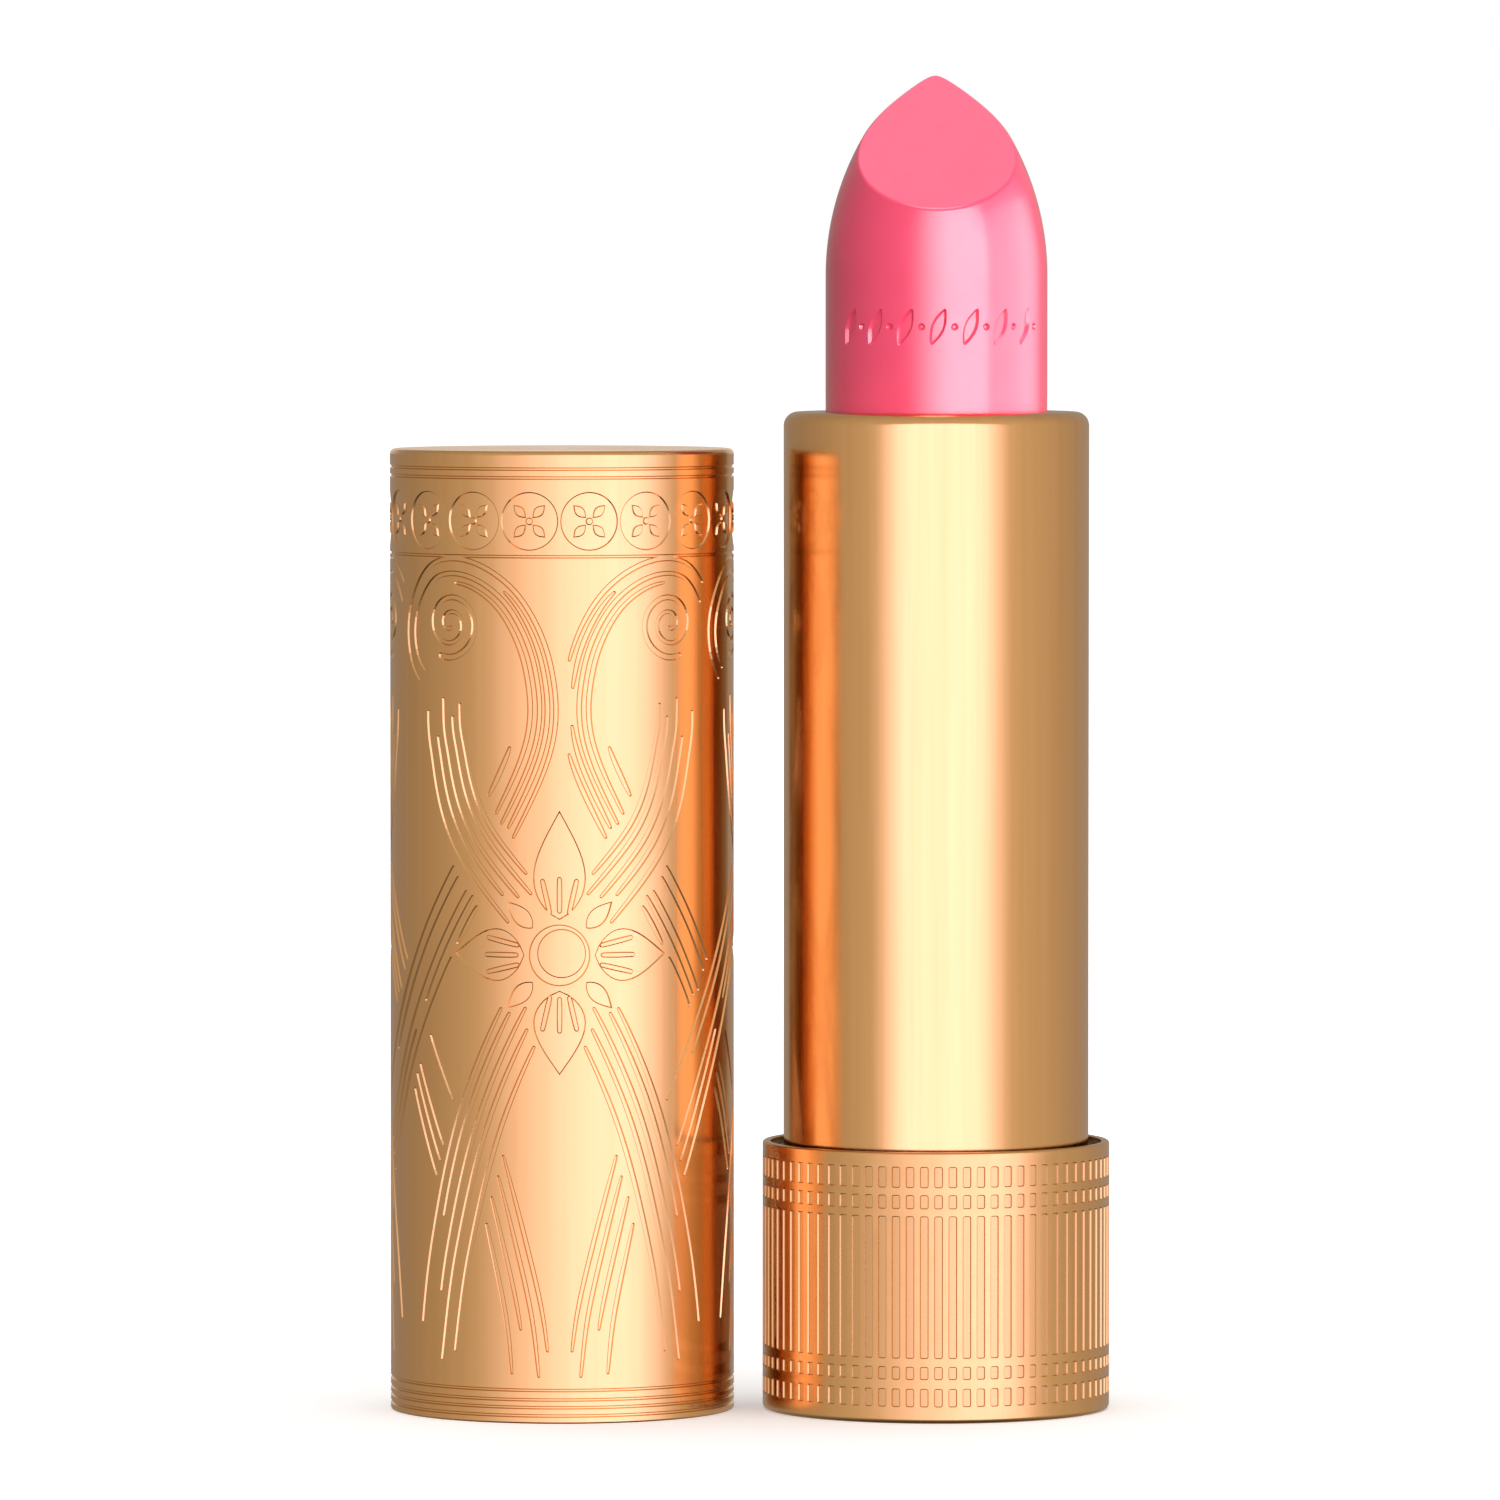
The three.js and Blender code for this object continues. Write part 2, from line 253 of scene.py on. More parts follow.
class Bar:
    """An upright bar with rounded corners, centred at u."""

    def __init__(self, u, low, high, half_width, corner):
        self.centre = np.array([u, (low + high) / 2])
        self.half = np.array([half_width, (high - low) / 2])
        self.corner = corner

    def depth_inside(self, where):
        past = np.abs(where - self.centre) - (self.half - self.corner)
        outside = np.hypot(*np.maximum(past, 0).T)
        return self.corner - outside - np.minimum(past.max(1), 0)

    def outline(self, inset):
        corner = max(self.corner - inset, THINNEST)
        reach = self.half - inset - corner
        points = []
        for quarter, side in enumerate(((1, 1), (-1, 1), (-1, -1), (1, -1))):
            for angle in np.radians(np.linspace(0, 90, 4) + 90 * quarter):
                turned = np.array([math.cos(angle), math.sin(angle)])
                points.append(self.centre + reach * side + corner * turned)
        return np.array(points)


class Polygon:
    """A closed shape from its corners."""

    def __init__(self, points):
        self.points = points

    def moved(self, du):
        return Polygon(self.points + [du, 0])

    def depth_inside(self, where):
        """How far each place is inside the edge. It is negative outside."""
        best = np.full(len(where), -np.inf)
        near = near_box(where, self.points, NEAR)
        p = where[near]
        gap, inside = np.full(len(p), np.inf), np.zeros(len(p), bool)
        for a, b in zip(self.points, np.roll(self.points, -1, 0)):
            gap = np.minimum(gap, gap_to_segment(p, a, b)[1])
            share = (p[:, 1] - a[1]) / (b[1] - a[1]) if b[1] != a[1] else np.zeros(len(p))
            beside_edge = (a[1] > p[:, 1]) != (b[1] > p[:, 1])
            inside ^= beside_edge & (p[:, 0] < a[0] + share * (b[0] - a[0]))
        best[near] = np.where(inside, gap, -gap)
        return best

    def outline(self, inset):
        """The closed line that lies inset inside the edge, with mitred corners."""
        before, after = np.roll(self.points, 1, 0), np.roll(self.points, -1, 0)
        first, second = unit(self.points - before), unit(after - self.points)
        out = unit(np.stack([first[:, 1] + second[:, 1], -first[:, 0] - second[:, 0]], -1))
        turned = np.stack([first[:, 1], -first[:, 0]], -1)
        mitre = np.clip(1 / np.maximum((out * turned).sum(1), 1 / LONGEST_MITRE), 1, LONGEST_MITRE)
        area = (before[:, 0] * self.points[:, 1] - before[:, 1] * self.points[:, 0]).sum()
        return self.points - out * (inset * mitre * np.sign(area))[:, None]


def leaf(foot, tip, half_width, fullness, steps=18):
    """A shape with two curved sides from its foot to its pointed tip.

    A fullness below one puts the widest place nearer to the foot.
    """
    foot, tip = np.array(foot, float), np.array(tip, float)
    across = unit(tip - foot)[::-1] * [-1, 1]
    t = np.linspace(0, 1, steps + 1)
    spine = foot + (tip - foot) * t[:, None]
    offset = across * (half_width * np.sin(np.pi * t**fullness))[:, None]
    return Polygon(np.concatenate([spine + offset, (spine - offset)[-2:0:-1]]))


SNAP = 0.08  # a point this near to the top or the foot of a bevel, as a share, is on it
ON_SIDE = 1e-4  # a point this near to a side or a level of a drawing, in mm, is on it


class Relief:
    """A flat drawing of sunken shapes, with raised shapes inside them."""

    def __init__(self, low, high, depth, bevel):
        self.low, self.high = np.array(low, float), np.array(high, float)
        self.depth, self.bevel = depth, bevel
        self.sunken, self.raised = [], []

    def level(self, where):
        """The surface's height at each place: from zero down to minus depth."""
        inside = np.full(len(where), -np.inf)
        for shape in self.sunken:
            inside = np.maximum(inside, shape.depth_inside(where))
        for shape in self.raised:
            inside = np.minimum(inside, -shape.depth_inside(where))
        share = np.clip(inside / self.bevel, 0, 1)
        share[share < SNAP] = 0
        share[share > 1 - SNAP] = 1
        return -self.depth * share

    def outlines(self):
        """The lines at the top and the foot of every bevel, where they are wide enough."""
        for shape in self.sunken:
            yield shape.outline(0)
            yield shape.outline(self.bevel)
        for shape in self.raised:
            yield shape.outline(0)
            yield shape.outline(-self.bevel)

    def drawn_lines(self, columns, rows):
        """All points of the drawing, and the pairs of them that edges must join."""
        us = np.linspace(self.low[0], self.high[0], columns + 1)
        zs = np.linspace(self.low[1], self.high[1], rows + 1)
        grid = np.stack(np.meshgrid(us, zs), -1).reshape(-1, 2)
        u, z = grid.T
        points, edges, count = [grid], [], len(grid)
        for side in (u == us[0], u == us[-1], z == zs[0], z == zs[-1]):
            index = np.flatnonzero(side)
            edges.append(np.stack([index[:-1], index[1:]], 1))
        for line in self.outlines():
            if line is not None:
                index = count + np.arange(len(line))
                points.append(line)
                edges.append(np.stack([index, np.roll(index, -1)], 1))
                count += len(line)
        return np.concatenate(points), np.concatenate(edges)

    def triangles(self, columns, rows):
        """(triangles, 3, 2) places and (triangles, 3) heights over the drawing's rectangle."""
        given, edges = self.drawn_lines(columns, rows)
        corners = [Vector(point) for point in given.tolist()]
        links = [tuple(edge) for edge in edges.tolist()]
        made = delaunay_2d_cdt(corners, links, [], 0, 1e-5, True)
        places = np.array([tuple(vertex) for vertex in made[0]])
        for i, sources in enumerate(made[3]):
            if sources:
                places[i] = given[sources[0]]
        self.match_sides(places)
        faces = np.array(made[2])
        middle = places[faces].mean(1)
        within = ((middle > self.low) & (middle < self.high)).all(1)
        return places[faces][within], self.level(places)[faces][within]

    def on_side(self, places, u):
        """The numbers of the places on an upright side of the drawing."""
        above, below = places[:, 1] > self.low[1] - ON_SIDE, places[:, 1] < self.high[1] + ON_SIDE
        return np.flatnonzero((abs(places[:, 0] - u) < ON_SIDE) & above & below)

    def match_sides(self, places):
        """Gives the right side's points the left side's heights, so that repeats meet."""
        left, right = self.on_side(places, self.low[0]), self.on_side(places, self.high[0])
        if len(left) == len(right):
            left = left[np.argsort(places[left, 1])]
            right = right[np.argsort(places[right, 1])]
            places[right, 1] = places[left, 1]
        places[left, 0], places[right, 0] = self.low[0], self.high[0]


def wrap_relief(surface, relief, radius, columns, rows, copies, floors):
    """Adds a relief, repeated round a wall of that radius.

    The wall has the first material, and the sunken floors and their bevels have number floors.
    """
    corners, heights = relief.triangles(columns, rows)
    side_a, side_b = corners[:, 1] - corners[:, 0], corners[:, 2] - corners[:, 0]
    backwards = side_a[:, 0] * side_b[:, 1] < side_a[:, 1] * side_b[:, 0]
    corners[backwards] = corners[backwards][:, ::-1]
    heights[backwards] = heights[backwards][:, ::-1]
    on_bevel = np.ptp(heights, axis=1) > ON_SIDE
    sunken = on_bevel | (heights.max(1) < -ON_SIDE)
    materials = np.where(sunken, floors, 0)
    for copy in range(copies):
        turn = corners[..., 0] / radius + copy * 2 * np.pi / copies
        points = around(radius + heights, corners[..., 1], turn)
        normals = around(1.0, 0.0, turn)
        facing = unit(np.cross(points[:, 1] - points[:, 0], points[:, 2] - points[:, 0]))
        normals[on_bevel] = facing[on_bevel][:, None]
        surface.add(points, normals, materials)


# -------- curves for the drawing
def even(points, step):
    """The same line with its points spread evenly."""
    run = np.concatenate([[0], np.cumsum(np.hypot(*np.diff(points, axis=0).T))])
    at = np.linspace(0, run[-1], max(3, int(round(run[-1] / step)) + 1))
    return np.stack([np.interp(at, run, points[:, k]) for k in (0, 1)], axis=-1)


def smooth_curve(points, step=0.35):
    """A Catmull-Rom curve through the points, made of points spread evenly."""
    p = np.array(points, float)
    p = np.concatenate([[2 * p[0] - p[1]], p, [2 * p[-1] - p[-2]]])
    t = np.linspace(0, 1, 24, endpoint=False)[:, None]
    parts = []
    for a, b, c, d in zip(p[:-3], p[1:-2], p[2:-1], p[3:]):
        bend = (2 * a - 5 * b + 4 * c - d) * t**2 + (3 * b - a - 3 * c + d) * t**3
        parts.append(0.5 * (2 * b + (c - a) * t + bend))
    return even(np.concatenate(parts + [p[-2:-1]]), step)


def beside(points, offset):
    """A line that runs beside another, offset to its left."""
    along = unit(np.gradient(points, axis=0))
    across = np.stack([-along[:, 1], along[:, 0]], axis=-1)
    return points + across * np.broadcast_to(offset, len(points))[:, None]


def swelling(count, wide, ends=0.6):
    """Half-widths that swell to wide in the middle from a share of it at each end."""
    return wide * (ends + (1 - ends) * np.sin(np.pi * np.linspace(0, 1, count)) ** 0.6)


SHORTEST_RUN = 4  # points; a stretch of a line with fewer is left out
CLEARANCE = 0.1  # between a stroke's edge and what it passes behind


def clear_runs(points, blockers, margin):
    """The stretches of a line that stay clear of the blocking shapes by a margin."""
    blocked = np.zeros(len(points) + 1, bool)
    blocked[-1] = True
    for blocker in blockers:
        blocked[:-1] |= blocker.depth_inside(points) > -margin
    runs, start = [], None
    for i, stop in enumerate(blocked):
        if not stop and start is None:
            start = i
        if stop and start is not None:
            if i - start >= SHORTEST_RUN:
                runs.append(points[start:i])
            start = None
    return runs


def bundle(path, lines, wide, blockers):
    """Strokes that run beside each other along a path, broken where they meet a blocker.

    Each line is (offset at its start, offset at its end, start share, end share).
    """
    strokes = []
    for first, last, start, stop in lines:
        line = beside(path, np.linspace(first, last, len(path)))
        line = line[int(start * len(path)) : int(stop * len(path))]
        for run in clear_runs(line, blockers, wide + CLEARANCE):
            strokes.append(Stroke(run, swelling(len(run), wide)))
    return strokes


# -------- the cap's drawing
REPEATS = 3  # the drawing is repeated this often round the cap
PERIOD = 2 * math.pi * CAP.r / REPEATS
CAP_EDGE = 0.3  # radius of the crown's rounded edge
CAP_FOOT = 0.12  # radius of the rim's rounded edge
BAND_LINES = (CAP.high - 1.0, CAP.high - 1.5, CAP.high - 5.95)  # heights of the rings
FOOT_LINES = (0.45, 0.92, 1.36, 1.9)
RING_W = 0.1  # half-width of a ring
MEDALLION_Z = CAP.high - 3.95
MEDALLION_R = 1.66
MEDALLIONS = 6  # in one repeat
FLOWER = np.array([0.0, 26.6])
FLOWER_R = 1.75
FLOWER_RIM = 0.42  # width of the sunken ring round the flower's middle
PETALS = ((0, 6.4), (90, 8.2), (180, 6.4), (270, 6.8))  # turn in degrees, and reach
PETAL_FOOT = 2.0
DIAGONALS = (45, 135, 225, 315)
SCROLL = np.array([6.75, 45.3])
SCROLL_R = 1.95
LINE_W = 0.17  # half-width of a ribbon's stroke
BAND_W = 1.7  # half-width of a whole ribbon, which hides what it passes over


def rays(centre, turns, start, stop, count):
    """Straight lines out from a centre, one for each turn in degrees."""
    for turn in turns:
        way = np.array([math.cos(math.radians(turn)), math.sin(math.radians(turn))])
        yield np.array(centre) + way * np.linspace(start, stop, count)[:, None]


def draw_medallions(relief):
    """A row of sunken discs, each with a small raised blossom of four petals."""
    pitch = PERIOD / MEDALLIONS
    for i in range(-1, MEDALLIONS + 1):
        centre = (-PERIOD / 2 + (i + 0.5) * pitch, MEDALLION_Z)
        relief.sunken.append(disc(centre, MEDALLION_R))
        relief.raised.append(disc(centre, 0.16))
        for foot, tip in rays(centre, DIAGONALS, 0.36, 1.2, 2):
            relief.raised.append(leaf(foot, tip, half_width=0.22, fullness=1.0, steps=8))


def flower_petals():
    """Four broad petals and four slim ones between them."""
    petals = []
    for turn, reach in PETALS:
        foot, tip = next(rays(FLOWER, (turn,), PETAL_FOOT, reach, 2))
        petals.append(leaf(foot, tip, half_width=1.5, fullness=0.72))
    for foot, tip in rays(FLOWER, DIAGONALS, 2.15, 4.3, 2):
        petals.append(leaf(foot, tip, half_width=0.5, fullness=0.8))
    return petals


def draw_flower(relief, petals):
    """The petals, a round middle and three raised veins in each broad petal."""
    off_centre = [0.12, 0.1]
    relief.sunken += petals
    relief.sunken.append(disc(FLOWER, FLOWER_R))
    relief.raised.append(disc(FLOWER + off_centre, FLOWER_R - FLOWER_RIM))
    for turn, _ in PETALS:
        for vein in rays(FLOWER, (turn - 13, turn, turn + 13), 2.5, 4.3, 8):
            relief.raised.append(Stroke(vein, swelling(len(vein), wide=0.1, ends=0.8)))


def volute(centre, side, radius, turns, start):
    """A stroke that winds inwards and thins. side is 1 or -1, for its mirror image."""
    t = np.linspace(0, 1, 90)
    r = radius * (1 - 0.88 * t)
    angle = np.radians(start) + 2 * np.pi * turns * t
    points = np.stack([side * r * np.cos(angle), r * np.sin(angle)], -1) + centre
    line = even(points, step=0.22)
    return Stroke(line, np.linspace(0.2, 0.13, len(line)))


# Middle lines, each as a few (u, z) points that a smooth curve runs through.
RIBBON = [(-7.4, 41.0), (-7.1, 38.4), (-5.4, 33.4), (0, 26.6), (4.2, 18.4), (6.7, 10), (8.0, 2.9)]
ARCH = [
    (-5.2, 42.3), (-7.6, 42.0), (-9.4, 43.4), (-9.6, 45.6), (-7.9, 47.8), (-5.4, 47.9), (-3.0, 46.2),
    (-1.5, 42.8), (-1.5, 38.6), (-4.0, 33.2), (-8.0, 26.6), (-11.8, 19.8), (-15.0, 12.6),
]
VEE = [(-4.7, 16.2), (-3.2, 10.8), (-2.1, 6.2), (-1.6, 2.3)]

# The strokes of each bundle: offset at its start and end, and the shares where it starts and ends.
RIBBON_LINES = [
    (1.35, 1.5, 0.01, 0.95),
    (0.8, 0.95, 0.03, 0.80),
    (0.15, 0.2, 0.00, 0.90),
    (-0.45, -0.5, 0.05, 0.99),
    (-1.15, -1.4, 0.02, 0.97),
]
ARCH_LINES = [
    (0.75, 1.5, 0.00, 0.99),
    (0.35, 0.9, 0.28, 0.76),
    (0.0, 0.3, 0.03, 0.96),
    (-0.5, -0.3, 0.22, 0.56),
    (-0.5, -0.85, 0.60, 0.84),
    (-1.0, -1.5, 0.46, 0.99),
    (0.2, 0.9, 0.79, 0.96),
]
VEE_LINES = [
    (1.1, 1.1, 0.0, 0.9),
    (0.5, 0.45, 0.06, 0.99),
    (-0.2, -0.3, 0.1, 0.8),
    (-0.85, -1.1, 0.15, 0.97),
]


def repeats(shapes):
    """The shapes, and their copies one repeat to the left and to the right."""
    return [shape.moved(k * PERIOD) for shape in shapes for k in (-1, 0, 1)]


def mirrored_lines(lines):
    """The lines of a bundle whose path is mirrored."""
    return [(-first, -last, start, stop) for first, last, start, stop in lines]


def ribbon_strokes(petals):
    """Bundles that cross: ribbons over both arches, the left arch over the right one."""
    ribbon, arch, vee = (smooth_curve(points) for points in (RIBBON, ARCH, VEE))
    ribbon_band, arch_band = Stroke(ribbon, BAND_W), Stroke(arch, BAND_W + 0.05)
    scroll_discs = [disc(SCROLL * [side, 1], SCROLL_R + 0.05) for side in (-1, 1)]
    front = repeats(petals + scroll_discs + [disc(FLOWER, 3.0)])
    over = repeats([ribbon_band, ribbon_band.mirrored()])
    ribbons = bundle(ribbon, RIBBON_LINES, LINE_W, front)
    left = bundle(arch, ARCH_LINES, LINE_W, front + over)
    behind = front + over + repeats([arch_band])
    right = bundle(arch * [-1, 1], mirrored_lines(ARCH_LINES), LINE_W, behind)
    vees = bundle(vee, VEE_LINES, LINE_W * 0.9, over)
    both_sides = [stroke.mirrored() for stroke in ribbons] + left + right
    return ribbons + both_sides + vees + [stroke.mirrored() for stroke in vees]


def draw_ribbons(relief):
    """Ribbons of long strokes that cross over and under each other behind the flower."""
    petals = flower_petals()
    draw_flower(relief, petals)
    strokes = ribbon_strokes(petals)
    strokes += [volute(SCROLL * [side, 1], -side, SCROLL_R, 2.1, 250) for side in (-1, 1)]
    for copy in repeats(strokes):
        if abs(copy.points[:, 0]).min() < PERIOD / 2 + 0.5:
            relief.sunken.append(copy)


def cap_relief():
    """One repeat of the cap's drawing: rings, medallions, ribbons, scrolls and a flower."""
    corner = np.array([PERIOD / 2, CAP.high - CAP_EDGE])
    relief = Relief((-corner[0], CAP_FOOT), corner, depth=0.085, bevel=0.065)
    columns = 2 * SIDES // REPEATS
    for z in BAND_LINES + FOOT_LINES:
        ring = np.stack([np.linspace(-PERIOD, PERIOD, columns + 1), np.full(columns + 1, z)], -1)
        relief.sunken.append(Stroke(ring, RING_W))
    draw_medallions(relief)
    draw_ribbons(relief)
    return relief


# -------- pieces
def cap_shell(materials):
    """The cap's metal: the engraved wall, a flat crown and an open rim."""
    wall, crown, chamfer = 0.45, 0.5, 0.06
    inside, ceiling = CAP.r - wall, CAP.high - crown
    edge = arc(CAP.r - CAP_EDGE, CAP.high - CAP_EDGE, CAP_EDGE, 0, 90)
    top = [(4.0, CAP.high), (0, CAP.high)]
    bore = [(0, ceiling), (inside, ceiling), (inside, chamfer), (inside + chamfer, 0)]
    rim = arc(CAP.r - CAP_FOOT, CAP_FOOT, CAP_FOOT, -90, 0, 4)
    surface = Surface()
    wrap_relief(surface, cap_relief(), CAP.r, SIDES // REPEATS, rows=56, copies=REPEATS, floors=1)
    turn_profile(surface, edge + top, CAP.r)
    turn_profile(surface, bore + rim, CAP.r)
    return surface.build("cap_outside", materials, CAP)


BARS = 77  # columns of bars round the grip
BAR_ROWS = ((0.95, 2.0), (2.5, 3.25), (3.7, 11.8), (12.2, 13.0), (13.4, 14.6))  # low and high
BAR_W, BAR_CORNER = 0.245, 0.12  # half-width, and radius of the corners


def grip_shell(materials):
    """The grip: five rows of sunken bars all round, a rolled rim and a recess underneath."""
    pitch = 2 * math.pi * GRIP.r / BARS
    edge, lip, wall, floor, chamfer = 0.3, 0.15, 0.45, 0.9, 0.05
    recess_r, recess, recess_chamfer = 7.4, 0.15, 0.04
    inside = GRIP.r - wall
    relief = Relief((-pitch / 2, edge), (pitch / 2, GRIP.high - lip), depth=0.08, bevel=0.05)
    relief.sunken = [Bar(0, low, high, BAR_W, BAR_CORNER) for low, high in BAR_ROWS]
    under = [(0, recess), (recess_r, recess), (recess_r, recess_chamfer), (recess_r + recess_chamfer, 0)]
    foot = arc(GRIP.r - edge, edge, edge, -90, 0)
    rim = arc(GRIP.r - lip, GRIP.high - lip, lip, 0, 90, 4)
    mouth = [(inside + chamfer, GRIP.high), (inside, GRIP.high - chamfer)]
    surface = Surface()
    wrap_relief(surface, relief, GRIP.r, columns=2, rows=6, copies=BARS, floors=1)
    turn_profile(surface, under + foot, GRIP.r)
    turn_profile(surface, rim + mouth + [(inside, floor), (0, floor)], GRIP.r)
    return surface.build("grip_outside", materials, GRIP)


def sleeve_shell(materials):
    """The plain sleeve, rolled over at the top to a mouth with a small lip."""
    wall, roll, lip, mouth, chamfer = 0.35, 0.8, 0.12, STICK.r + 0.25, 0.05
    inside, top = SLEEVE.r - wall, SLEEVE.high
    foot = [(inside, SLEEVE.low), (SLEEVE.r - chamfer, SLEEVE.low)]
    heights = np.linspace(SLEEVE.low + chamfer, top - roll, 12)[:-1]
    shoulder = arc(SLEEVE.r - roll, top - roll, roll, 0, 90, 10)
    edge = arc(mouth + lip, top - lip, lip, 90, 180, 5)
    under = [(mouth, top - 0.4), (inside - 0.3, top - 0.4), (inside, top - 0.7), (inside, SLEEVE.low)]
    surface = Surface()
    turn_profile(surface, foot + [(SLEEVE.r, z) for z in heights] + shoulder + edge + under)
    return surface.build("sleeve_outside", materials, SLEEVE)


# The stick's nose narrows by two arcs, and a slanted plane cuts it. The CAD has the same nose.
NOSE_BOTTOM = 65.0
NOSE_TOP = 77.2
SIDE_ARC = 15.8  # radius of the outline's arcs seen from the front
BACK_ARC = 41.4  # and seen from the side
SLANT = math.radians(35.3)  # rise of the cut from front to back
TIP_Y, TIP_Z = 4.75, 76.55  # a point of the cut's plane
SOFT = 0.16  # how far the cut's edge is rounded, down the side and across the cut
LEAF_Z = 62.1
LEAF_PITCH = 1.9
LEAF_ROW = (60.4, 63.8)  # the heights that the row's drawing covers


def half_width(z, arc_radius):
    """Half the stick's width at a height, and how fast it changes with height."""
    rise = np.maximum(z - NOSE_BOTTOM, 0)
    run = np.sqrt(arc_radius**2 - rise**2)
    return STICK.r - arc_radius + run, -rise / run


def nose_ring(z):
    """Points and normals of the stick round a line of heights, one for each column."""
    (a, da), (b, db) = half_width(z, SIDE_ARC), half_width(z, BACK_ARC)
    sin, cos = np.sin(TURNS), np.cos(TURNS)
    lean = -(da * sin**2 / a + db * cos**2 / b)
    return np.stack([a * sin, -b * cos, z], -1), unit(np.stack([sin / a, -cos / b, lean], -1))


def cut_heights():
    """Where each column of the stick meets the slanted cut."""
    low, high = np.full(SIDES + 1, NOSE_BOTTOM), np.full(SIDES + 1, NOSE_TOP)
    for _ in range(40):
        middle = (low + high) / 2
        y = -half_width(middle, BACK_ARC)[0] * np.cos(TURNS)
        above = middle > TIP_Z + (y - TIP_Y) * math.tan(SLANT)
        low, high = np.where(above, low, middle), np.where(above, middle, high)
    return (low + high) / 2


def leaf_relief():
    """A plain row of seven small leaves, and dots, pressed into the front of the stick."""
    half_round = math.pi * STICK.r
    relief = Relief((-half_round, LEAF_ROW[0]), (half_round, LEAF_ROW[1]), depth=0.17, bevel=0.14)
    half_leaf = np.array([0.45, 1.15])
    for i in range(-3, 4):
        centre = np.array([i * LEAF_PITCH, LEAF_Z])
        relief.sunken.append(leaf(centre - half_leaf, centre + half_leaf, half_width=0.4, fullness=1.0))
        relief.sunken.append(disc(centre + [LEAF_PITCH / 2, 0], 0.22))
    return relief


def cut_rows(edge, side, side_normals):
    """Rows of points and normals from the stick's side, over the soft edge, across the cut."""
    up = np.broadcast_to([0, -math.sin(SLANT), math.cos(SLANT)], side.shape)
    corner, _ = nose_ring(edge)
    centre = corner[:-1].mean(0)
    facet = corner + SOFT * unit(centre - corner)
    for t in (0.25, 0.5, 0.75):
        point = (1 - t) ** 2 * side + 2 * t * (1 - t) * corner + t**2 * facet
        yield point, unit((1 - t) * side_normals + t * up)
    for share in (1, 0.9, 0.6, 0.3, 0):
        yield centre + (facet - centre) * share, up


def stick(materials):
    """The lipstick itself, from its foot in the cup to its slanted cut."""
    low, high = LEAF_ROW
    foot, foot_chamfer = STICK.low, 0.3
    surface = Surface()
    bottom = [(0, foot), (STICK.r - foot_chamfer, foot), (STICK.r, foot + foot_chamfer)]
    turn_profile(surface, bottom + [(STICK.r, low)])
    wrap_relief(surface, leaf_relief(), STICK.r, SIDES, rows=8, copies=1, floors=0)
    edge = cut_heights()
    rows = [nose_ring(high + (edge - SOFT - high) * t) for t in np.linspace(0, 1, 40)]
    rows += cut_rows(edge, *rows[-1])
    for (low_row, low_normals), (high_row, high_normals) in zip(rows[:-1], rows[1:]):
        surface.strip(low_row, low_normals, high_row, high_normals)
    return surface.build("stick", materials, STICK)


def insert(materials):
    """The plastic holder in the grip: its visible ring, mouth and socket."""
    top, mouth, bore, foot = INSERT.high, SLEEVE.r + 0.25, 8.95, INSERT.low
    seat_r, seat, shelf_top, shelf_under = 7.95, 12.8, 7.0, 6.0
    edge, lip = 0.12, 0.06
    outside = [(bore, foot), (INSERT.r, foot)] + arc(INSERT.r - edge, top - edge, edge, 0, 90, 4)
    inner_edge = arc(mouth + lip, top - lip, lip, 90, 180, 3)
    socket = [(mouth, seat), (seat_r, seat), (seat_r, shelf_top), (0, shelf_top)]
    surface = Surface()
    turn_profile(surface, outside + inner_edge + socket)
    turn_profile(surface, [(0, shelf_under), (bore, shelf_under), (bore, foot)])
    return surface.build("insert", materials, INSERT)


def liner(materials):
    """The plastic cup in the cap, with the bead that grips the sleeve."""
    low, high, ceiling, cove = LINER.low, LINER.high, LINER.high - 0.8, 0.4
    bore, bead_z, bead_reach, bead = SLEEVE.r + 0.2, 4.0, 0.5, 0.12
    roof = [(0, ceiling), (bore - cove, ceiling), (bore, ceiling - cove)]
    bead_line = [(bore - bead * math.cos(a) ** 2, bead_z - bead_reach * a / (math.pi / 2))
                 for a in np.linspace(-math.pi / 2, math.pi / 2, 11)]
    mouth = [(bore, low + 0.6), (bore + 0.15, low), (LINER.r - 0.1, low)]
    outside = [(LINER.r, low + 0.1), (LINER.r, high), (0, high)]
    surface = Surface()
    turn_profile(surface, roof + bead_line + mouth + outside)
    return surface.build("liner", materials, LINER)


# -------- materials
def new_node(tree, kind, operation=None, **values):
    """A shader node with some sockets set. A space in a socket's name is written as _."""
    made = tree.nodes.new("ShaderNode" + kind)
    if operation:
        made.operation = operation
    for socket, value in values.items():
        made.inputs[socket.replace("_", " ")].default_value = value
    return made


MIX_FACTOR, MIX_FIRST, MIX_SECOND, MIX_RESULT = 0, 6, 7, 2  # the sockets of a colour mix
SHADE = 0.88  # a plain material's darker colour, as a share of its own


